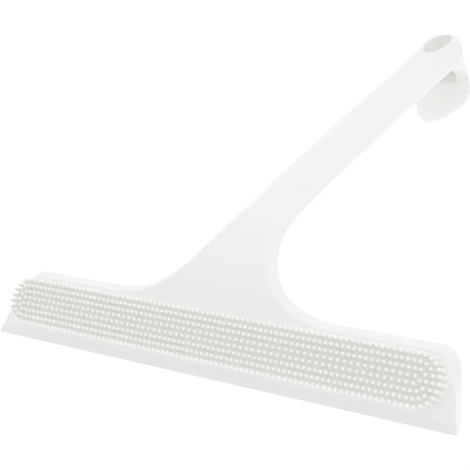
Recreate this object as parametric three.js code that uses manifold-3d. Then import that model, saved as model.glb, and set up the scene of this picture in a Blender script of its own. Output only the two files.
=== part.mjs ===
// Window and shower squeegee: a long straight head with a flat lip blade along its lower edge,
// a pad of soft nubs on its front, and a flat handle that bends back from the head and ends in
// a hook with a hanging hole.
//
// Everything is drawn in the head's own axes and turned to lie on its back at the very end:
//   x  along the blade
//   v  up the front of the head
//   w  out of the front of the head, with w = 0 on its flat front face
// Lengths are millimetres.

import * as THREE from "three";
import { mergeVertices } from "three/addons/utils/BufferGeometryUtils.js";
import Module from "manifold-3d";

const wasm = await Module();
wasm.setup();

// ---- driving dimensions ----------------------------------------------------------------

const GAP = 0.3;                  // clearance between pieces that touch

const HEAD_WIDTH = 260;           // along the working edge of the blade
const HEAD_TOP = 16.1;
const HEAD_BOTTOM = -12.9;
const HEAD_BACK = -4.7;
const SIDE_W = -3.9;              // the rim bevel ends here and the plain side wall starts
const RIM_BEVEL = 3.4;            // width of the bevel round the front of the head and neck
const END_LEAN = 0.26;            // the ends spread this much per millimetre downwards
const END_CORNER = 11;            // radius of the head's upper corners
const END_BEVEL = { from: -3, to: 9 };      // the rim bevel grows between these heights

const LIP_EDGE = -16.9;           // working edge of the blade
const LIP_EDGE_THICK = 0.4;
const LIP_ROOT_THICK = 3.2;
const TONGUE = { top: -7.4, front: -1.9, back: -2.9, width: 248 };

const PITCH = 2.852;              // spacing of the nubs
const PAD_HALF = 111.6;           // middle of the pad to the centre of its round ends
const PAD_RADIUS = 11.5;
const PAD_FRONT = 1.6;
const PAD_BACK = -0.5;
const NUB_TIP = 6.3;
const NUB_RADIUS = 1.15;
const NUB_ROWS = [                // racetrack rows of nubs, from the middle outwards
  { radius: 0.5 * PITCH, count: 137 },
  { radius: 1.5 * PITCH, count: 166 },
  { radius: 2.5 * PITCH, count: 174 },
  { radius: 3.5 * PITCH, count: 179 },
];

const LEAN = THREE.MathUtils.degToRad(42.64);   // the handle leans back from the head
const BEND_START = 20.5;
const BEND_RADIUS = 56.3;         // of the line where bevel and side wall meet
const BEND_END = BEND_START + BEND_RADIUS * Math.sin(LEAN);
const HANDLE_HALF = 15;           // half the handle's width
const CROWN_HALF = 6.3;           // half the width of the flat along its front
const CROWN_HIGH = 3.3;
const END_HIGH = 6.2;             // the crown rises to this round the hanging hole
const END_RISE = { from: 138, to: 165 };
const END_BULGE = 1.6;            // the bevels swell out by this at the round end
const SIDE_THICK = 1.5;           // height of its side wall
const FLARE = [                   // control points of the flare, right side, (x, v)
  [63, HEAD_TOP], [32, HEAD_TOP], [16, 35.5], [HANDLE_HALF, 66],
];
const NECK_DIP = 1.3;             // the neck bends in by this, most at the middle of its run
const DIP_RUN = [22, 42, 62];
const HANDLE_BOW = 1;             // the handle bows out by this between its two middle levels
const BOW_RUN = [55, 85, 132, 160];
const HOOK_V = 160.1;             // the hook starts here

const HOOK_ROUND = 4.3;           // centre of the handle's round end, past the hook's start
const HOOK_DEEP = 24.4;             // side line of the handle to the back of the hook
const HOOK_RAKE = Math.tan(THREE.MathUtils.degToRad(3.5));   // its end wall slopes in
const HEEL_RADIUS = 2.6;          // the edge round the back of the leg
const MOUTH_MIDDLE = 12.2;        // the slot under the handle reaches furthest in here
const MOUTH_ROOF = [              // control points of the slot's two curves, as (q, b)
  [-0.9, SIDE_THICK], [4.5, 5.1], [10.3, 8.2], [10.1, MOUTH_MIDDLE],
];
const MOUTH_FLOOR = [[10.1, MOUTH_MIDDLE], [9.8, 15.6], [5.5, 18.7], [1, 20]];
const LEG_TIP = -11.6;
const LEG_FLANK = [               // control points of the leg's tapering side, as (x, q)
  [HANDLE_HALF, HOOK_ROUND], [HANDLE_HALF, 1.2], [6.5, LEG_TIP], [0, LEG_TIP],
];
const LEG_SLOPE = 0.26;           // the leg's back leans out by this towards its tip
const EYE = { centre: 10.1, halfLength: 8.9, halfWidth: 6.1, floor: 15.5 };   // hanging hole

// ---- solids ----------------------------------------------------------------------------

function solid(geometry) {
  const bare = geometry.clone();
  bare.deleteAttribute("normal");
  bare.deleteAttribute("uv");
  const merged = mergeVertices(bare, 1e-4);
  return new wasm.Manifold(new wasm.Mesh({
    numProp: 3,
    vertProperties: new Float32Array(merged.attributes.position.array),
    triVerts: new Uint32Array(merged.index.array),
  }));
}

function meshOf(name, body, color, roughness) {
  const data = body.getMesh();
  const geometry = new THREE.BufferGeometry();
  geometry.setAttribute("position", new THREE.BufferAttribute(data.vertProperties, 3));
  geometry.setIndex(new THREE.BufferAttribute(data.triVerts, 1));
  geometry.computeVertexNormals();
  const material = new THREE.MeshStandardMaterial({ color, roughness, metalness: 0 });
  const mesh = new THREE.Mesh(geometry, material);
  mesh.name = name;
  return mesh;
}

function extrude(shape, depth, matrix) {
  const geometry = new THREE.ExtrudeGeometry(shape, { depth, bevelEnabled: false });
  geometry.applyMatrix4(matrix);
  return solid(geometry);
}

const AX = new THREE.Vector3(1, 0, 0);
const AV = new THREE.Vector3(0, 1, 0);
const AW = new THREE.Vector3(0, 0, 1);

function basis(xAxis, yAxis, zAxis, origin) {
  return new THREE.Matrix4().makeBasis(xAxis, yAxis, zAxis).setPosition(origin);
}

// A solid through several outlines with the same number of points: every point of every
// outline is put in space by place(point, level).
function through(outlines, place) {
  const key = (x, y) => `${x.toFixed(4)} ${y.toFixed(4)}`;
  const index = new Map(outlines[0].map((p, i) => [key(p.x, p.y), i]));
  const steps = outlines.length - 1;
  const shape = new THREE.Shape(outlines[0]);
  const geometry = new THREE.ExtrudeGeometry(shape, { depth: steps, steps, bevelEnabled: false });
  const position = geometry.attributes.position;
  for (let i = 0; i < position.count; i += 1) {
    const level = Math.round(position.getZ(i));
    const from = index.get(key(position.getX(i), position.getY(i)));
    const to = place(outlines[level][from], level);
    position.setXYZ(i, to.x, to.y, to.z);
  }
  return solid(geometry);
}

// A side outline drawn as (v, w), pushed along x.
function alongX(shape, width) {
  return extrude(shape, width, basis(AV, AW, AX, new THREE.Vector3(-width / 2, 0, 0)));
}

// A front outline drawn as (x, v), pushed from w = back to w = front.
function alongW(shape, back, front) {
  return extrude(shape, front - back, basis(AX, AV, AW, new THREE.Vector3(0, 0, back)));
}

// ---- outlines --------------------------------------------------------------------------

function vec(x, y) {
  return new THREE.Vector2(x, y);
}

function arc(centre, radius, from, to, steps) {
  const points = [];
  for (let i = 0; i <= steps; i += 1) {
    const a = from + ((to - from) * i) / steps;
    points.push(vec(centre.x + radius * Math.cos(a), centre.y + radius * Math.sin(a)));
  }
  return points;
}

function curve(points) {
  return new THREE.CubicBezierCurve(...points.map(([x, y]) => vec(x, y)));
}

function mirrored(points) {
  return points.map((p) => vec(-p.x, p.y)).reverse();
}

function stadium(half, radius, steps) {
  const right = arc(vec(half, 0), radius, -Math.PI / 2, Math.PI / 2, steps);
  return new THREE.Shape([...right, ...mirrored(right)]);
}

function endHalf(v) {
  return HEAD_WIDTH / 2 - END_LEAN * (v - LIP_EDGE);
}

// ---- head ------------------------------------------------------------------------------

// Right half of the head's outline from the bottom up, with the direction out of it.
function headEdge() {
  const slope = Math.atan(END_LEAN);
  const cornerV = HEAD_TOP - END_CORNER;
  const centre = vec(endHalf(cornerV) - END_CORNER / Math.cos(slope), cornerV);
  const steps = 8;
  const edge = [];
  for (const v of [LIP_EDGE, END_BEVEL.from, 0, 3]) {
    edge.push({ point: vec(endHalf(v), v), angle: slope });
  }
  for (let i = 0; i <= steps; i += 1) {
    const angle = slope + ((Math.PI / 2 - slope) * i) / steps;
    const point = vec(Math.cos(angle), Math.sin(angle)).multiplyScalar(END_CORNER).add(centre);
    edge.push({ point, angle });
  }
  return edge;
}

// The bevelled front part of the head: the outline at the foot of the bevel, drawn in towards
// the front face by the local width of the bevel.
function headBlock() {
  const edge = headEdge();
  const foot = edge.map((e) => e.point);
  const rim = edge.map(({ point, angle }) => {
    const grown = THREE.MathUtils.smoothstep(point.y, END_BEVEL.from, END_BEVEL.to);
    return point.clone().sub(vec(Math.cos(angle), Math.sin(angle)).multiplyScalar(RIM_BEVEL * grown));
  });
  const outlines = [foot, foot, rim].map((half) => [...half, ...mirrored(half)]);
  const levels = [HEAD_BACK, SIDE_W, 0];
  const block = through(outlines, (p, level) => new THREE.Vector3(p.x, p.y, levels[level]));
  const side = alongX(new THREE.Shape([
    vec(HEAD_BOTTOM, 1), vec(HEAD_BOTTOM, -LIP_ROOT_THICK),
    vec(HEAD_BOTTOM + 1.5, HEAD_BACK), vec(HEAD_TOP + 1, HEAD_BACK), vec(HEAD_TOP + 1, 1),
  ]), HEAD_WIDTH + 2);
  return block.intersect(side);
}

// ---- neck and handle -------------------------------------------------------------------

// How far the plate stands out of its straight run at v: in along the neck, out along the handle.
function bow(v) {
  const { smoothstep } = THREE.MathUtils;
  const [dipStart, dipMiddle, dipEnd] = DIP_RUN;
  const dip = smoothstep(v, dipStart, dipMiddle) * (1 - smoothstep(v, dipMiddle, dipEnd));
  const [bowStart, bowFull, bowLast, bowEnd] = BOW_RUN;
  const swell = smoothstep(v, bowStart, bowFull) * (1 - smoothstep(v, bowLast, bowEnd));
  return HANDLE_BOW * swell - NECK_DIP * dip;
}

// A point of the bent plate: v is measured on its side line, out is square to the plate.
function onPlate(x, v, over) {
  const out = over + bow(v);
  const turn = Math.asin(THREE.MathUtils.clamp((v - BEND_START) / BEND_RADIUS, 0, Math.sin(LEAN)));
  const past = Math.max(0, v - BEND_END);
  const w = SIDE_W - BEND_RADIUS * (1 - Math.cos(turn)) - past * Math.tan(LEAN);
  return new THREE.Vector3(x, v + out * Math.sin(turn), w + out * Math.cos(turn));
}

function blend(from, to, v) {
  return from + (to - from) * THREE.MathUtils.smoothstep(v, 40, 72);
}

// Cross rows of the plate, from inside the head to past the round end of the hook.
function plateRows() {
  const flare = curve(FLARE);
  const rows = [{ foot: vec(63, 0), rim: vec(63 - RIM_BEVEL, 0) }];
  const steps = 16;
  for (let i = 0; i <= steps; i += 1) {
    const foot = flare.getPoint(i / steps);
    const along = flare.getTangent(i / steps);
    const width = blend(RIM_BEVEL, HANDLE_HALF - CROWN_HALF, foot.y);
    const rim = foot.clone().add(vec(-along.y, along.x).multiplyScalar(width));
    rows.push({ foot, rim });
  }
  const past = [3, 6, 7.5, 9, 10.5, 20].map((v) => HOOK_V + v);
  for (const v of [72, 78, 86, 132, 138, 144, 150, 156, ...past]) {
    const width = blend(RIM_BEVEL, HANDLE_HALF - CROWN_HALF, v);
    rows.push({ foot: vec(HANDLE_HALF, v), rim: vec(HANDLE_HALF - width, v) });
  }
  return rows;
}

// The plate is an extruded eight-sided section whose rows are then set out one by one.
function plate() {
  const outlines = plateRows().map(({ foot, rim }) => {
    const front = blend(-SIDE_W, CROWN_HIGH, rim.y)
      + (END_HIGH - CROWN_HIGH) * THREE.MathUtils.smoothstep(rim.y, END_RISE.from, END_RISE.to);
    const behind = blend(SIDE_W - HEAD_BACK, SIDE_THICK, foot.y);
    const bulge = END_BULGE * THREE.MathUtils.smoothstep(rim.y, HOOK_V + 6, HOOK_V + 10.5);
    const middle = foot.clone().add(rim).multiplyScalar(0.5);
    const right = [
      onPlate(foot.x, foot.y, -behind), onPlate(foot.x, foot.y, 0),
      onPlate(middle.x, middle.y, front / 2 + bulge), onPlate(rim.x, rim.y, front),
    ];
    const left = right.map((p) => new THREE.Vector3(-p.x, p.y, p.z)).reverse();
    return [...right, ...left];
  });
  const section = [
    vec(4, 0), vec(4, 1), vec(3, 2), vec(2, 3), vec(-2, 3), vec(-3, 2.1), vec(-4, 1), vec(-4, 0),
  ];
  return through([section, ...outlines.slice(1)], (p, level) => {
    const at = level ? p : outlines[0][section.indexOf(p)];
    return at.clone().setX(-at.x);
  });
}

// ---- hook ------------------------------------------------------------------------------

// The hook's own axes: q up the handle from where the hook starts, b out of its back.
const AQ = new THREE.Vector3(0, Math.cos(LEAN), -Math.sin(LEAN));
const AB = new THREE.Vector3(0, -Math.sin(LEAN), -Math.cos(LEAN));
const RAKED = AB.clone().addScaledVector(AQ, -HOOK_RAKE);
const HOOK = onPlate(0, HOOK_V, 0);

// A plan drawn as (x, q), pushed from b = from to b = to along the given direction.
function alongB(shape, from, to, way = AB) {
  const origin = HOOK.clone().addScaledVector(way, from);
  return extrude(shape, to - from, basis(AX.clone().negate(), AQ, way, origin));
}

// A side outline drawn as (q, b), pushed along x.
function hookSide(shape, half) {
  return extrude(shape, 2 * half, basis(AQ, AB, AX.clone().negate(), HOOK.clone().setX(half)));
}

function endWall(b) {
  return HOOK_ROUND + HANDLE_HALF - b * HOOK_RAKE;
}

// The U that hangs below the handle, with spare material all round its bridge and leg.
function hook() {
  const top = SIDE_THICK / 4;
  const deep = HOOK_DEEP + 7;
  const low = LEG_TIP - 2;
  const [[q0, b0], [q1, b1]] = MOUTH_FLOOR.slice(-2);
  const inner = b1 + ((low - q1) * (b1 - b0)) / (q1 - q0);
  return hookSide(new THREE.Shape([
    vec(MOUTH_ROOF[0][0], top),
    vec(endWall(top) + 4, top),
    vec(endWall(deep) + 4, deep),
    vec(low, deep),
    vec(low, inner),
    ...curve(MOUTH_FLOOR).getPoints(9).reverse(),
    ...curve(MOUTH_ROOF).getPoints(9).reverse().slice(1),
  ]), HANDLE_HALF);
}

// Right half of the round end of the handle, as (x, q).
function roundEnd(inset) {
  return arc(vec(0, HOOK_ROUND), HANDLE_HALF - inset, 0, Math.PI / 2, 12);
}

// Outline of the pointed leg seen from its back, drawn in by an inset.
function legOutline(inset) {
  const flank = curve([...LEG_FLANK].reverse());
  const half = [];
  const steps = 10;
  for (let i = 0; i < steps; i += 1) {
    const along = flank.getTangent(i / steps);
    half.push(flank.getPoint(i / steps).add(vec(-along.y, along.x).multiplyScalar(inset)));
  }
  half.push(...roundEnd(inset));
  return [...half, ...mirrored(half).slice(1, -1)];
}

// Levels of the leg: straight walls, then a rounded edge up to its sloping back.
function legLevels() {
  const levels = [{ inset: 0, b: MOUTH_MIDDLE - 3 }];
  const steps = 5;
  for (let i = 0; i <= steps; i += 1) {
    const a = ((Math.PI / 2) * i) / steps;
    levels.push({
      inset: HEEL_RADIUS * (1 - Math.cos(a)),
      b: HOOK_DEEP - HEEL_RADIUS * (1 - Math.sin(a)),
    });
  }
  return levels;
}

function legPoint(x, q, b) {
  return HOOK.clone().setX(x).addScaledVector(AQ, q).addScaledVector(RAKED, b - LEG_SLOPE * q);
}

// What the round end of the handle and the pointed leg leave over. Both follow the rake.
function hookWaste() {
  const round = roundEnd(0);
  const beyond = new THREE.Shape([
    vec(40, 60), vec(-40, 60), vec(-40, HOOK_ROUND),
    ...mirrored(round).reverse(),
    ...[...round].reverse().slice(1),
    vec(40, HOOK_ROUND),
  ]);
  const levels = legLevels();
  const outlines = levels.map(({ inset }) => legOutline(inset));
  const leg = through(outlines, (p, level) => legPoint(-p.x, p.y, levels[level].b));
  const around = new THREE.Shape([vec(-40, -40), vec(40, -40), vec(40, 60), vec(-40, 60)]);
  return [
    alongB(beyond, -HOOK_DEEP, MOUTH_MIDDLE, RAKED),
    alongB(around, MOUTH_MIDDLE - 1, HOOK_DEEP + 9, RAKED).subtract(leg),
  ];
}

// The hanging hole follows the rake of the hook's end wall.
function eye() {
  const ring = arc(vec(0, 0), 1, 0, Math.PI * 2, 28).slice(0, -1);
  const shape = new THREE.Shape(ring.map(({ x, y }) => {
    const across = EYE.halfWidth * Math.sign(x) * Math.abs(x) ** 0.88;
    return vec(across, EYE.centre + EYE.halfLength * y);
  }));
  return alongB(shape, -END_HIGH - 2, EYE.floor, RAKED);
}

// ---- blade and pad ---------------------------------------------------------------------

function blade() {
  const section = alongX(new THREE.Shape([
    vec(LIP_EDGE, 0), vec(LIP_EDGE, -LIP_EDGE_THICK),
    vec(HEAD_BOTTOM - GAP, -LIP_ROOT_THICK), vec(HEAD_BOTTOM - GAP, TONGUE.back),
    vec(HEAD_BOTTOM - GAP, 0),
  ]), HEAD_WIDTH + 2);
  const outline = new THREE.Shape([LIP_EDGE - 1, 0].flatMap((v, i) => {
    const half = endHalf(v);
    return i ? [vec(half, v), vec(-half, v)] : [vec(-half, v), vec(half, v)];
  }));
  const tongue = alongX(new THREE.Shape([
    vec(HEAD_BOTTOM - 1, TONGUE.front), vec(HEAD_BOTTOM - 1, TONGUE.back),
    vec(TONGUE.top, TONGUE.back), vec(TONGUE.top, TONGUE.front),
  ]), TONGUE.width);
  return section.intersect(alongW(outline, HEAD_BACK, 1)).add(tongue);
}

function tongueSlot() {
  return alongX(new THREE.Shape([
    vec(HEAD_BOTTOM - 1, TONGUE.front + GAP), vec(HEAD_BOTTOM - 1, TONGUE.back - GAP),
    vec(TONGUE.top + GAP, TONGUE.back - GAP), vec(TONGUE.top + GAP, TONGUE.front + GAP),
  ]), TONGUE.width + 2 * GAP);
}

// Points spread evenly round a racetrack, starting at its right end.
function racetrack({ radius, count }) {
  const straight = 2 * PAD_HALF;
  const bow = Math.PI * radius;
  const points = [];
  const half = straight + bow;
  for (let i = 0; i < count; i += 1) {
    const run = ((2 * half * i) / count + bow / 2) % (2 * half);
    const side = run < half ? 1 : -1;
    const s = run % half;
    const a = s / radius - Math.PI / 2;
    points.push(s < bow
      ? vec(side * (PAD_HALF + radius * Math.cos(a)), side * radius * Math.sin(a))
      : vec(side * (PAD_HALF - (s - bow)), side * radius));
  }
  return points;
}

function pad() {
  const slab = alongW(stadium(PAD_HALF, PAD_RADIUS, 12), PAD_BACK, PAD_FRONT);
  const nubs = NUB_ROWS.flatMap(racetrack).map((at) => {
    const nub = new THREE.ConeGeometry(NUB_RADIUS, NUB_TIP - PAD_FRONT + 0.5, 4);
    nub.rotateX(Math.PI / 2);
    nub.translate(at.x, at.y, (NUB_TIP + PAD_FRONT - 0.5) / 2);
    return solid(nub);
  });
  return wasm.Manifold.union([slab, ...nubs]);
}

// ---- assembly --------------------------------------------------------------------------

const frame = hookWaste()
  .reduce((left, waste) => left.subtract(waste), wasm.Manifold.union([headBlock(), plate(), hook()]))
  .subtract(eye())
  .subtract(tongueSlot())
  .subtract(alongW(stadium(PAD_HALF, PAD_RADIUS + GAP, 12), PAD_BACK - GAP, 2));

const parts = new THREE.Group();
parts.name = "drawn_upright";
parts.add(meshOf("handle_frame", frame, 0xf2f1ee, 0.35));
parts.add(meshOf("squeegee_blade", blade(), 0xf0efec, 0.45));
parts.add(meshOf("scrub_pad", pad(), 0xf1f0ed, 0.5));

// Laid on its back: it rests on the edge of the blade and on the back of the hook's leg.
const turns = legLevels().slice(1).flatMap(({ inset, b }) => legOutline(inset).map((p) => {
  const at = legPoint(p.x, p.y, b);
  return -Math.atan2(at.z + LIP_EDGE_THICK, at.y - LIP_EDGE);
}));
const lay = Math.max(...turns);
parts.rotation.x = lay;
parts.updateMatrixWorld(true);
const box = new THREE.Box3().setFromObject(parts, true);
parts.position.set(0, -(box.min.y + box.max.y) / 2, -box.min.z);

const group = new THREE.Group();
group.name = "window_squeegee";
group.add(parts);
group.updateMatrixWorld(true);

export default group;
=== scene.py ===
import math

import bmesh
import bpy
import numpy as np
from mathutils import Matrix, Vector


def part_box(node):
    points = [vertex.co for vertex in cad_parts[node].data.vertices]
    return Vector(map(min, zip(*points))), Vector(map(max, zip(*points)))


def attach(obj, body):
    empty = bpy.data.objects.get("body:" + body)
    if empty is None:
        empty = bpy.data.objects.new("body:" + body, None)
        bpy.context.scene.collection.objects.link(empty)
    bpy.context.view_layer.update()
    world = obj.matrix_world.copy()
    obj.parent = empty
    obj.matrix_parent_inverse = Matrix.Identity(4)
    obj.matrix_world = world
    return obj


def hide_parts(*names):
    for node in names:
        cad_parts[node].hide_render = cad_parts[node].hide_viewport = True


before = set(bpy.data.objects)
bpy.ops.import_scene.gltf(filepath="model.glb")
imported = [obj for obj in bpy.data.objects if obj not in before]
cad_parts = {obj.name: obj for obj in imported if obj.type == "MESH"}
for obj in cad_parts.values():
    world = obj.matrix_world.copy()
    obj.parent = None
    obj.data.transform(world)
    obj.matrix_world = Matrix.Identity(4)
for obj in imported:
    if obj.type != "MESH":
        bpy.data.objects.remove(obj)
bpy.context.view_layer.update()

# ---- sizes, in millimetres: x along the blade, v up the head, w out of its front ---------

HEAD_WIDTH = 260.0             # along the working edge of the lip
HEAD_TOP = 16.1
HEAD_BOTTOM = -12.9
HEAD_BACK = -4.7
SIDE_W = -3.9                  # the rim bevel ends here and the plain side wall starts
RIM_BEVEL = 3.4                # width of the bevel round the front of the head and neck
END_LEAN = 0.26                # the ends spread this much per millimetre downwards
END_CORNER = 11.0              # radius of the head's upper corners
END_BEVEL = (-3.0, 9.0)        # the rim bevel grows between these heights
END_LEVELS = (-22, -16, -10, -6)               # heights of the plain lower part of the ends
CORNER_STEPS = 28

LIP_EDGE = -16.9               # working edge of the lip
LIP_EDGE_THICK = 0.4
LIP_EDGE_ROUND = (0.12, 0.05)  # what the front of the edge loses, up and back
LIP_ROOT_THICK = 3.2

PITCH = 2.852                  # spacing of the nubs
PAD_HALF = 111.6               # middle of the pad to the centre of its round ends
PAD_RADIUS = 11.5
PAD_FRONT = 1.6
PAD_BACK = -0.6
PAD_RIM = 1.5                  # radius of the pad's front edge
PAD_ROUND_STEPS = 48
RIM_STEPS = 8
NUB_TIP = 6.4
NUB_SIDES = 12
NUB_ROWS = ((0.5, 137), (1.5, 166), (2.5, 174), (3.5, 179))   # radius in pitches, count
NUB_PROFILE = (                # radius and height above the pad
    (1.12, -0.3), (1.0, 0.3), (0.88, 1.4), (0.79, 2.8), (0.74, 3.75), (0.53, 4.2), (0.0, 4.4),
)
TIP_LIGHT_FADE = (1.15, 0.25)        # painted light: each nub's colour lightens between these depths under its top

LEAN = math.radians(42.64)     # the handle leans back from the head
BEND_START = 20.5
BEND_RADIUS = 56.3             # of the line where bevel and side wall meet
BEND_END = BEND_START + BEND_RADIUS * math.sin(LEAN)
HANDLE_HALF = 15.0             # half the handle's width
CROWN_HALF = 6.3               # half the width of the flat along its front
CROWN_HIGH = 3.3
END_HIGH = 6.2                 # the crown rises to this round the hanging hole
END_RISE = (138.0, 165.0)
END_BULGE = 1.6                # the bevels swell out by this at the round end
BULGE_RISE = (6.0, 10.5)       # above the hook's start
SIDE_THICK = 1.5
FLARE_FOOT = 63.0
FLARE_STEPS = 60
NECK_BLEND = (40.0, 72.0)      # the head's section turns into the handle's between these
HANDLE_LEVELS = (68, 70, 72, 75, 78, 81, 84, 87, 96)
FLARE = ((FLARE_FOOT, HEAD_TOP), (32.0, HEAD_TOP), (16.0, 35.5), (HANDLE_HALF, 66.0))
NECK_DIP = 1.3                 # the neck bends in by this, most at the middle of its run
DIP_RUN = (22.0, 42.0, 62.0)
HANDLE_BOW = 1.0               # the handle bows out by this between its two middle levels
BOW_RUN = (55.0, 85.0, 132.0, 160.0)

# The hook has its own axes at height HOOK_V: q up the handle and b out of its back.
HOOK_V = 160.1
HOOK_ROUND = 4.3               # q of the round end's centre
HOOK_DEEP = 24.4               # b of the leg's back
HOOK_RAKE = math.tan(math.radians(3.5))
HEEL_RADIUS = 2.6
HEEL_STEPS = 12
MOUTH_TOP = ((-0.9, SIDE_THICK), (4.5, 5.1), (10.3, 8.2), (10.1, 12.2))
MOUTH_FLOOR = ((10.1, 12.2), (9.8, 15.6), (5.5, 18.7), (1.0, 20.0))
MOUTH_MIDDLE = 12.2            # b of the deepest point of the mouth
MOUTH_STEPS = 32
LEG_TIP = -11.6                # q of the leg's end
LEG_FLANK = ((HANDLE_HALF, HOOK_ROUND), (HANDLE_HALF, 1.2), (6.5, LEG_TIP), (0.0, LEG_TIP))
LEG_STEPS = 32
LEG_SLOPE = 0.26               # the leg's back rises this much per millimetre of q
ROUND_STEPS = 40
EYE_CENTRE, EYE_LENGTH, EYE_WIDTH, EYE_FLOOR = 10.1, 8.9, 6.1, 15.5
EYE_POWER = 0.88               # makes the hanging hole a little squarer than an ellipse
EYE_STEPS = 96

WASTE_HALF = 40.0              # the cutters round the hook reach this far to each side
WASTE_TOP = 60.0               # and this far up

VOXEL = 0.42                   # of the remesh that rounds the moulding's edges
SMOOTH_STEPS = 8

# ---- light and camera --------------------------------------------------------------------

SKY_LEVEL = 0.775
SKY_SLOPE = (-0.03, 0.16, 0.22)                # how the sky brightens along each axis
CAMERA_AT = (423.1, -26.3, 476.8)              # in the design frame, as are its two directions
CAMERA_RIGHT = (0.7455, 0.2354, -0.6235)
CAMERA_UP = (-0.1054, 0.9654, 0.2384)
CAMERA_LENS = 114.68
FLOOR_HALF = 6.0               # metres


def smoothstep(t, lo, hi):
    t = min(max((t - lo) / (hi - lo), 0.0), 1.0)
    return t * t * (3 - 2 * t)


def arc(cx, cy, r, a0, a1, n):
    angles = [a0 + (a1 - a0) * i / n for i in range(n + 1)]
    return [(cx + r * math.cos(a), cy + r * math.sin(a)) for a in angles]


def bezier_point(p, t):
    return (1 - t) ** 3 * p[0] + 3 * t * (1 - t) ** 2 * p[1] + 3 * t * t * (1 - t) * p[2] + t ** 3 * p[3]


def bezier(points, n):
    p = np.array(points)
    return [tuple(bezier_point(p, t)) for t in np.linspace(0, 1, n + 1)]


def bezier_beside(p, t, width):
    """The point that lies width to the left of the curve's point at t."""
    at = bezier_point(p, t)
    d = (1 - t) ** 2 * (p[1] - p[0]) + 2 * t * (1 - t) * (p[2] - p[1]) + t * t * (p[3] - p[2])
    d /= np.linalg.norm(d)
    return at[0] - d[1] * width, at[1] + d[0] * width


def mirrored(points):
    return [(-x, y) for x, y in reversed(points)]


# ---- mesh helpers ------------------------------------------------------------------------

def mesh_object(name, verts, faces):
    mesh = bpy.data.meshes.new(name)
    mesh.from_pydata([tuple(map(float, v)) for v in verts], [], [tuple(f) for f in faces])
    bm = bmesh.new()
    bm.from_mesh(mesh)
    bmesh.ops.remove_doubles(bm, verts=bm.verts, dist=1e-5)
    bmesh.ops.recalc_face_normals(bm, faces=bm.faces)
    bm.to_mesh(mesh)
    bm.free()
    obj = bpy.data.objects.new(name, mesh)
    bpy.context.scene.collection.objects.link(obj)
    return obj


def loft(name, rows):
    """Closed solid through rows of points; every row is a closed section with as many points."""
    n = len(rows[0])
    verts = [p for row in rows for p in row]
    faces = [range(n), range(len(verts) - n, len(verts))]
    for i in range(len(rows) - 1):
        for j in range(n):
            k = (j + 1) % n
            faces.append((i * n + j, i * n + k, i * n + n + k, i * n + n + j))
    return mesh_object(name, verts, faces)


def apply(obj):
    bpy.context.view_layer.update()
    graph = bpy.context.evaluated_depsgraph_get()
    mesh = bpy.data.meshes.new_from_object(obj.evaluated_get(graph))
    old = obj.data
    obj.modifiers.clear()
    obj.data = mesh
    bpy.data.meshes.remove(old)


def boolean(obj, other, operation):
    cut = obj.modifiers.new("cut", "BOOLEAN")
    cut.operation = operation
    cut.solver = "EXACT"
    cut.object = other
    apply(obj)
    data = other.data
    bpy.data.objects.remove(other)
    bpy.data.meshes.remove(data)
    return obj


# ---- the moulding ------------------------------------------------------------------------

def end_half(v):
    return HEAD_WIDTH / 2 - END_LEAN * (v - LIP_EDGE)


def head_block():
    """The head bar down to the lip's back, with the rim bevel round its front."""
    slope = math.atan(END_LEAN)
    corner_v = HEAD_TOP - END_CORNER
    cx = end_half(corner_v) - END_CORNER / math.cos(slope)
    levels = (*END_LEVELS, *np.linspace(END_BEVEL[0], corner_v, 12))
    edge = [(end_half(v), v, slope) for v in levels]
    for i in range(CORNER_STEPS + 1):
        a = slope + (math.pi / 2 - slope) * i / CORNER_STEPS
        edge.append((cx + END_CORNER * math.cos(a), corner_v + END_CORNER * math.sin(a), a))
    foot = [(x, v) for x, v, a in edge]
    rim = []
    for x, v, a in edge:
        b = RIM_BEVEL * smoothstep(v, *END_BEVEL)
        rim.append((x - b * math.cos(a), v - b * math.sin(a)))
    foot, rim = foot + mirrored(foot), rim + mirrored(rim)
    block = loft("head", [
        [(x, v, HEAD_BACK) for x, v in foot],
        [(x, v, SIDE_W) for x, v in foot],
        [(x, v, 0.0) for x, v in rim],
    ])
    section = [
        (-21, 1), (-21, -LIP_ROOT_THICK), (HEAD_BOTTOM, -LIP_ROOT_THICK),
        (HEAD_BOTTOM + 1.5, HEAD_BACK), (HEAD_TOP + 1, HEAD_BACK), (HEAD_TOP + 1, 1),
    ]
    cutter = loft("section", [[(x, v, w) for v, w in section] for x in (-140, 140)])
    return boolean(block, cutter, "INTERSECT")


def bow(v):
    """How far the plate stands out of its straight run: in along the neck, out along the handle."""
    dip = smoothstep(v, DIP_RUN[0], DIP_RUN[1]) * (1 - smoothstep(v, DIP_RUN[1], DIP_RUN[2]))
    swell = smoothstep(v, BOW_RUN[0], BOW_RUN[1]) * (1 - smoothstep(v, BOW_RUN[2], BOW_RUN[3]))
    return HANDLE_BOW * swell - NECK_DIP * dip


def on_plate(x, v, out):
    """A point of the bent plate: out is measured from the line where bevel and side wall meet."""
    out += bow(v)
    turn = math.asin(min(max((v - BEND_START) / BEND_RADIUS, 0.0), math.sin(LEAN)))
    past = max(0.0, v - BEND_END)
    w = SIDE_W - BEND_RADIUS * (1 - math.cos(turn)) - past * math.tan(LEAN)
    return (x, v + out * math.sin(turn), w + out * math.cos(turn))


def blend(a, b, v):
    return a + (b - a) * smoothstep(v, *NECK_BLEND)


def bevel(v):
    return blend(RIM_BEVEL, HANDLE_HALF - CROWN_HALF, v)


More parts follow.
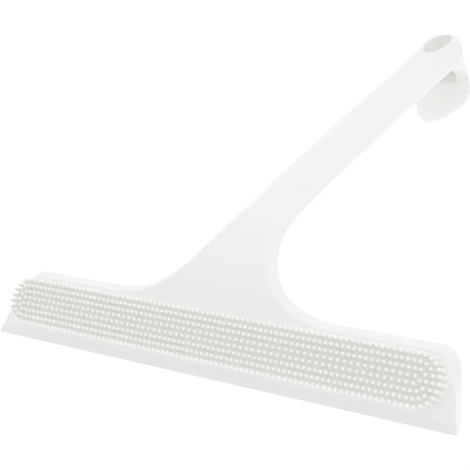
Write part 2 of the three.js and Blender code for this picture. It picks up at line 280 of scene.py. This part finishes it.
def plate():
    """The neck and the bent handle, as eight-sided sections from the head to past the hook."""
    p = np.array(FLARE)
    rows = [((FLARE_FOOT, 0.0), (FLARE_FOOT - RIM_BEVEL, 0.0))]      # foot and rim of each section
    for i in range(FLARE_STEPS + 1):
        t = i / FLARE_STEPS
        at = bezier_point(p, t)
        rows.append((tuple(at), bezier_beside(p, t, bevel(at[1]))))
    for v in (*HANDLE_LEVELS, *np.linspace(110, HOOK_V + 16, 67), HOOK_V + 20):
        rows.append(((HANDLE_HALF, v), (HANDLE_HALF - bevel(v), v)))
    sections = []
    for (fx, fv), (rx, rv) in rows:
        front = blend(-SIDE_W, CROWN_HIGH, rv)
        front += (END_HIGH - CROWN_HIGH) * smoothstep(rv, *END_RISE)
        bulge = END_BULGE * smoothstep(rv - HOOK_V, *BULGE_RISE)
        mx, mv, middle = (fx + rx) / 2, (fv + rv) / 2, front / 2 + bulge
        behind = blend(SIDE_W - HEAD_BACK, SIDE_THICK, fv)
        sections.append([
            on_plate(fx, fv, 0), on_plate(mx, mv, middle), on_plate(rx, rv, front),
            on_plate(-rx, rv, front), on_plate(-mx, mv, middle), on_plate(-fx, fv, 0),
            on_plate(-fx, fv, -behind), on_plate(fx, fv, -behind),
        ])
    return loft("plate", sections)


# ---- the hook ----------------------------------------------------------------------------

AQ = np.array((0, math.cos(LEAN), -math.sin(LEAN)))
AB = np.array((0, -math.sin(LEAN), -math.cos(LEAN)))
RAKED = AB - AQ * HOOK_RAKE
HOOK = np.array(on_plate(0, HOOK_V, 0))


def hook_point(x, q, b, along=AB):
    return HOOK + np.array((x, 0, 0)) + AQ * q + along * b


def along_b(name, levels, slope=0.0):
    """Solid through outlines (x, q) at depths b, which follow the hook's rake."""
    return loft(name, [[hook_point(x, q, b - slope * q, RAKED) for x, q in outline] for outline, b in levels])


def end_wall(b):
    """q of the hook's far wall at depth b."""
    return HOOK_ROUND + HANDLE_HALF - b * HOOK_RAKE


def hook():
    """The hook's side outline at the full width of the handle, with room to cut the ends from."""
    top, deep, low = SIDE_THICK / 4, HOOK_DEEP + 7, LEG_TIP - 2
    (q0, b0), (q1, b1) = MOUTH_FLOOR[-2:]
    outline = [
        (MOUTH_TOP[0][0], top), (end_wall(top) + 4, top), (end_wall(deep) + 4, deep),
        (low, deep), (low, b1 + (low - q1) * (b1 - b0) / (q1 - q0)),
        *reversed(bezier(MOUTH_FLOOR, MOUTH_STEPS)), *list(reversed(bezier(MOUTH_TOP, MOUTH_STEPS)))[1:],
    ]
    return loft("hook", [[hook_point(x, q, b) for q, b in outline] for x in (-HANDLE_HALF, HANDLE_HALF)])


def leg_outline(inset):
    """The leg's outline seen from behind: pointed below, round above."""
    p = np.array(LEG_FLANK[::-1])
    half = [bezier_beside(p, t, inset) for t in np.linspace(0, 1, LEG_STEPS + 1)]
    half += arc(0, HOOK_ROUND, HANDLE_HALF - inset, 0, math.pi / 2, ROUND_STEPS)[1:]
    return half + mirrored(half)[1:-1]


def heel_levels():
    """Outlines and depths of the rounded edge round the leg's back."""
    levels = []
    for i in range(1, HEEL_STEPS + 1):
        a = math.pi / 2 * i / HEEL_STEPS
        outline = leg_outline(HEEL_RADIUS * (1 - math.cos(a)))
        levels.append((outline, HOOK_DEEP - HEEL_RADIUS * (1 - math.sin(a))))
    return levels


def hook_waste():
    """What the round end of the handle and the pointed leg leave over."""
    round_end = arc(0, HOOK_ROUND, HANDLE_HALF, 0, math.pi / 2, ROUND_STEPS)
    beyond = [
        (WASTE_HALF, WASTE_TOP), (-WASTE_HALF, WASTE_TOP), (-WASTE_HALF, HOOK_ROUND),
        *[(-x, y) for x, y in round_end], *list(reversed(round_end))[1:], (WASTE_HALF, HOOK_ROUND),
    ]
    box = [
        (-WASTE_HALF, -WASTE_HALF), (WASTE_HALF, -WASTE_HALF),
        (WASTE_HALF, WASTE_TOP), (-WASTE_HALF, WASTE_TOP),
    ]
    around = along_b("around", [(box, MOUTH_MIDDLE - 1), (box, HOOK_DEEP + 9)])
    levels = [(leg_outline(0), MOUTH_MIDDLE - 3), (leg_outline(0), HOOK_DEEP - HEEL_RADIUS)]
    leg = along_b("leg", levels + heel_levels(), LEG_SLOPE)
    above = along_b("beyond", [(beyond, -HOOK_DEEP), (beyond, MOUTH_MIDDLE)])
    return [above, boolean(around, leg, "DIFFERENCE")]


def eye():
    """The hanging hole, from above the crown down to its floor."""
    outline = []
    for a in np.linspace(0, 2 * math.pi, EYE_STEPS, endpoint=False):
        c, d = math.cos(a), math.sin(a)
        outline.append((EYE_WIDTH * math.copysign(abs(c) ** EYE_POWER, c), EYE_CENTRE + EYE_LENGTH * d))
    return along_b("eye", [(outline, -END_HIGH - 2), (outline, EYE_FLOOR)])


def moulding():
    """Head, neck, handle and hook as one solid with soft edges, cut off flat above the lip."""
    body = boolean(head_block(), plate(), "UNION")
    body = boolean(body, hook(), "UNION")
    for waste in hook_waste():
        body = boolean(body, waste, "DIFFERENCE")
    body = boolean(body, eye(), "DIFFERENCE")
    remesh = body.modifiers.new("fine", "REMESH")
    remesh.mode = "VOXEL"
    remesh.voxel_size = VOXEL
    remesh.adaptivity = 0.0
    smooth = body.modifiers.new("soft", "SMOOTH")
    smooth.factor = 0.5
    smooth.iterations = SMOOTH_STEPS
    apply(body)
    section = [(-40, 5), (-40, -10), (HEAD_BOTTOM, -10), (HEAD_BOTTOM, 5)]
    below = loft("below", [[(x, v, w) for v, w in section] for x in (-150, 150)])
    return boolean(body, below, "DIFFERENCE")


# ---- lip and pad -------------------------------------------------------------------------

def lip():
    up, back = LIP_EDGE_ROUND
    section = [
        (LIP_EDGE, -back), (LIP_EDGE, -LIP_EDGE_THICK),
        (HEAD_BOTTOM, -LIP_ROOT_THICK), (HEAD_BOTTOM, 0.0), (LIP_EDGE + up, 0.0),
    ]
    return loft("lip", [[(s * end_half(v), v, w) for v, w in section] for s in (-1, 1)])


def stadium(radius, n):
    right = arc(PAD_HALF, 0, radius, -math.pi / 2, math.pi / 2, n)
    return right + mirrored(right)


def racetrack(radius, count):
    """Evenly spaced points along a stadium, from the middle of its right end."""
    straight, turn = 2 * PAD_HALF, math.pi * radius
    half = straight + turn
    points = []
    for i in range(count):
        run = (2 * half * i / count + turn / 2) % (2 * half)
        side = 1 if run < half else -1
        s = run % half
        a = s / radius - math.pi / 2
        if s < turn:
            points.append((side * (PAD_HALF + radius * math.cos(a)), side * radius * math.sin(a)))
        else:
            points.append((side * (PAD_HALF - (s - turn)), side * radius))
    return points


def nub_rings(x, v):
    """Vertices of one nub: a ring for each level of its profile, then the tip."""
    scale = (NUB_TIP - PAD_FRONT) / NUB_PROFILE[-1][1]
    rings = []
    for r, h in NUB_PROFILE[:-1]:
        for k in range(NUB_SIDES):
            a = 2 * math.pi * k / NUB_SIDES
            rings.append((x + r * math.cos(a), v + r * math.sin(a), PAD_FRONT + h * scale))
    return rings + [(x, v, NUB_TIP)]


def nub_faces(base):
    """Faces of the nub whose vertices start at base."""
    bands = len(NUB_PROFILE) - 2
    last = base + bands * NUB_SIDES
    around = [(k, (k + 1) % NUB_SIDES) for k in range(NUB_SIDES)]
    faces = []
    for low in range(base, last, NUB_SIDES):
        high = low + NUB_SIDES
        faces += [(low + k, low + m, high + m, high + k) for k, m in around]
    faces += [(last + k, last + m, last + NUB_SIDES) for k, m in around]
    faces.append([base + k for k in reversed(range(NUB_SIDES))])
    return faces


def pad():
    """The pad's slab with a rounded front edge, and the nubs on it."""
    rows = [[(x, v, PAD_BACK) for x, v in stadium(PAD_RADIUS, PAD_ROUND_STEPS)]]
    for i in range(RIM_STEPS + 1):
        a = math.pi / 2 * i / RIM_STEPS
        outline = stadium(PAD_RADIUS - PAD_RIM + PAD_RIM * math.cos(a), PAD_ROUND_STEPS)
        rows.append([(x, v, PAD_FRONT - PAD_RIM + PAD_RIM * math.sin(a)) for x, v in outline])
    slab = loft("pad", rows)
    verts, faces = [], []
    for radius, count in NUB_ROWS:
        for x, v in racetrack(radius * PITCH, count):
            faces += nub_faces(len(verts))
            verts += nub_rings(x, v)
    nubs = mesh_object("nubs", verts, faces)
    with bpy.context.temp_override(active_object=slab, selected_editable_objects=[slab, nubs]):
        bpy.ops.object.join()
    return slab


# ---- place in the row frame --------------------------------------------------------------

def lay_angle():
    """The turn that lays the lip's back edge and the hook's leg on one plane."""
    turns = []
    for outline, b in heel_levels():
        for x, q in outline:
            at = hook_point(x, q, b - LEG_SLOPE * q, RAKED)
            turns.append(-math.atan2(at[2] + LIP_EDGE_THICK, at[1] - LIP_EDGE))
    return max(turns)


TURN = Matrix.Rotation(lay_angle(), 4, "X")
lip_lo = Vector(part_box("squeegee_blade")[0]) * 1000
front_edge = TURN @ Vector((0, LIP_EDGE, 0))
back_edge = TURN @ Vector((0, LIP_EDGE, -LIP_EDGE_THICK))
SHIFT = Matrix.Translation((0, lip_lo.y - front_edge.y, lip_lo.z - back_edge.z))
PLACE = Matrix.Scale(0.001, 4) @ SHIFT @ TURN


def finish_piece(obj, name, node, look, smooth_angle):
    obj.name = name
    obj.data.name = name
    obj.data.transform(PLACE)
    obj.data.update()
    for p in obj.data.polygons:
        p.use_smooth = True
    obj.data.set_sharp_from_angle(angle=math.radians(smooth_angle))
    obj.data.materials.clear()
    obj.data.materials.append(look)
    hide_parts(node)
    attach(obj, "root")


# ---- materials ---------------------------------------------------------------------------

def add_node(tree, kind, **inputs):
    """New node; an underscore in an input's name stands for a space."""
    node = tree.nodes.new(kind)
    for name, value in inputs.items():
        node.inputs[name.replace("_", " ")].default_value = value
    return node


def mix_colors(tree, factor):
    """Colour mix node driven by factor; its inputs 6 and 7 are the colours, its output 2 the mix."""
    mix = tree.nodes.new("ShaderNodeMix")
    mix.data_type = "RGBA"
    tree.links.new(factor, mix.inputs[0])
    return mix


def material(name, color, rough, bump, grain, glow):
    """Plastic with a faint cloud in colour and gloss, a fine grain and an even glow.

    The glow stands in for the light that scatters inside the white plastic.
    """
    mat = bpy.data.materials.new(name)
    mat.use_nodes = True
    tree = mat.node_tree
    tree.nodes.clear()
    out = add_node(tree, "ShaderNodeOutputMaterial")
    bsdf = add_node(tree, "ShaderNodeBsdfPrincipled", IOR=1.49,
                    Emission_Color=(1, 0.985, 0.965, 1), Emission_Strength=glow)
    tree.links.new(bsdf.outputs[0], out.inputs[0])
    coord = add_node(tree, "ShaderNodeTexCoord")
    cloud = add_node(tree, "ShaderNodeTexNoise", Scale=22, Detail=3)
    tree.links.new(coord.outputs["Object"], cloud.inputs["Vector"])
    ramp = add_node(tree, "ShaderNodeMapRange", To_Min=rough - 0.04, To_Max=rough + 0.05)
    tree.links.new(cloud.outputs["Fac"], ramp.inputs["Value"])
    tree.links.new(ramp.outputs["Result"], bsdf.inputs["Roughness"])
    tint = mix_colors(tree, cloud.outputs["Fac"])
    tint.inputs[6].default_value = (*[c * 0.985 for c in color], 1)
    tint.inputs[7].default_value = (*color, 1)
    tree.links.new(tint.outputs[2], bsdf.inputs["Base Color"])
    fine = add_node(tree, "ShaderNodeTexNoise", Scale=grain, Detail=2)
    tree.links.new(coord.outputs["Object"], fine.inputs["Vector"])
    relief = add_node(tree, "ShaderNodeBump", Strength=bump, Distance=0.00005)
    tree.links.new(fine.outputs["Fac"], relief.inputs["Height"])
    tree.links.new(relief.outputs["Normal"], bsdf.inputs["Normal"])
    return mat


def paint_light_on_nub_tips(mat, color):
    """Fades the base colour to color over the last stretch of each nub: painted light on the tips, over the
    darker base colour that stands as painted shade lower down.
    """
    tree = mat.node_tree
    bsdf = next(n for n in tree.nodes if n.type == "BSDF_PRINCIPLED")
    below = bsdf.inputs["Base Color"].links[0].from_socket
    coord = add_node(tree, "ShaderNodeTexCoord")
    outward = PLACE.to_3x3() @ Vector((0, 0, 1)) * 1e6      # measures w in millimetres
    level = outward.dot(PLACE.to_translation())
    along = tree.nodes.new("ShaderNodeVectorMath")
    along.operation = "DOT_PRODUCT"
    along.inputs[1].default_value = outward
    tree.links.new(coord.outputs["Object"], along.inputs[0])
    start, end = [level + NUB_TIP - depth for depth in TIP_LIGHT_FADE]
    height = add_node(tree, "ShaderNodeMapRange", From_Min=start, From_Max=end)
    height.interpolation_type = "SMOOTHSTEP"
    tree.links.new(along.outputs["Value"], height.inputs["Value"])
    mix = mix_colors(tree, height.outputs["Result"])
    mix.inputs[7].default_value = (*color, 1)
    tree.links.new(below, mix.inputs[6])
    tree.links.new(mix.outputs[2], bsdf.inputs["Base Color"])


moulded = material("moulded_white", (0.95, 0.945, 0.935), 0.36, 0.15, 1400, 0.025)
# The lip's colour is darker than the moulding's: partly the soft plastic's own tone, partly painted shade
# below the pad.
soft = material("soft_white", (0.92, 0.915, 0.905), 0.5, 0.15, 1800, 0.02)
# The nubs' dark base colour and light tips are painted shade between the nubs and painted light on their
# tips.
nubby = material("nub_white", (0.81, 0.805, 0.795), 0.5, 0.1, 1800, 0.115)
paint_light_on_nub_tips(nubby, (0.93, 0.925, 0.915))

finish_piece(moulding(), "moulded_frame", "handle_frame", moulded, 40)
finish_piece(lip(), "soft_lip", "squeegee_blade", soft, 30)
finish_piece(pad(), "nub_pad", "scrub_pad", nubby, 60)

# ---- camera ------------------------------------------------------------------------------

cam_data = bpy.data.cameras.new("camera")
cam_data.lens = CAMERA_LENS
cam_data.sensor_width = 36
cam_data.clip_start = 0.01
cam = bpy.data.objects.new("camera", cam_data)
bpy.context.scene.collection.objects.link(cam)
right = (TURN.to_3x3() @ Vector(CAMERA_RIGHT)).normalized()
up = (TURN.to_3x3() @ Vector(CAMERA_UP)).normalized()
back = right.cross(up).normalized()
up = back.cross(right).normalized()
facing = Matrix((right, up, back)).transposed().to_4x4()
cam.matrix_world = Matrix.Translation(PLACE @ Vector(CAMERA_AT)) @ facing
bpy.context.scene.camera = cam

# ---- light: a pale sky, a little brighter above and past the handle's end ----------------

world = bpy.data.worlds.new("studio")
bpy.context.scene.world = world
world.use_nodes = True
tree = world.node_tree
sky = tree.nodes["Background"]
sky.inputs["Color"].default_value = (1, 0.997, 0.99, 1)
ray = add_node(tree, "ShaderNodeTexCoord")
slope = tree.nodes.new("ShaderNodeVectorMath")
slope.operation = "DOT_PRODUCT"
slope.inputs[1].default_value = SKY_SLOPE
tree.links.new(ray.outputs["Generated"], slope.inputs[0])
strength = tree.nodes.new("ShaderNodeMath")
strength.operation = "ADD"
strength.inputs[1].default_value = SKY_LEVEL
tree.links.new(slope.outputs["Value"], strength.inputs[0])
tree.links.new(strength.outputs[0], sky.inputs["Strength"])

# ---- floor -------------------------------------------------------------------------------

floor_mesh = bpy.data.meshes.new("floor")
corners = [(-1, -1), (1, -1), (1, 1), (-1, 1)]
floor_mesh.from_pydata([(x * FLOOR_HALF, y * FLOOR_HALF, 0) for x, y in corners], [], [(0, 1, 2, 3)])
floor = bpy.data.objects.new("floor", floor_mesh)
bpy.context.scene.collection.objects.link(floor)
floor_look = bpy.data.materials.new("floor")
floor_look.use_nodes = True
tree = floor_look.node_tree
tree.nodes.clear()
out = add_node(tree, "ShaderNodeOutputMaterial")
lit = add_node(tree, "ShaderNodeEmission", Strength=0.95)
matt = add_node(tree, "ShaderNodeBsdfDiffuse", Color=(0.1, 0.1, 0.1, 1))
both = add_node(tree, "ShaderNodeAddShader")
tree.links.new(lit.outputs[0], both.inputs[0])
tree.links.new(matt.outputs[0], both.inputs[1])
tree.links.new(both.outputs[0], out.inputs[0])
floor_mesh.materials.append(floor_look)

# ---- view --------------------------------------------------------------------------------

scene = bpy.context.scene
scene.view_settings.view_transform = "Standard"
scene.view_settings.look = "None"
scene.view_settings.exposure = 0
scene.view_settings.gamma = 1
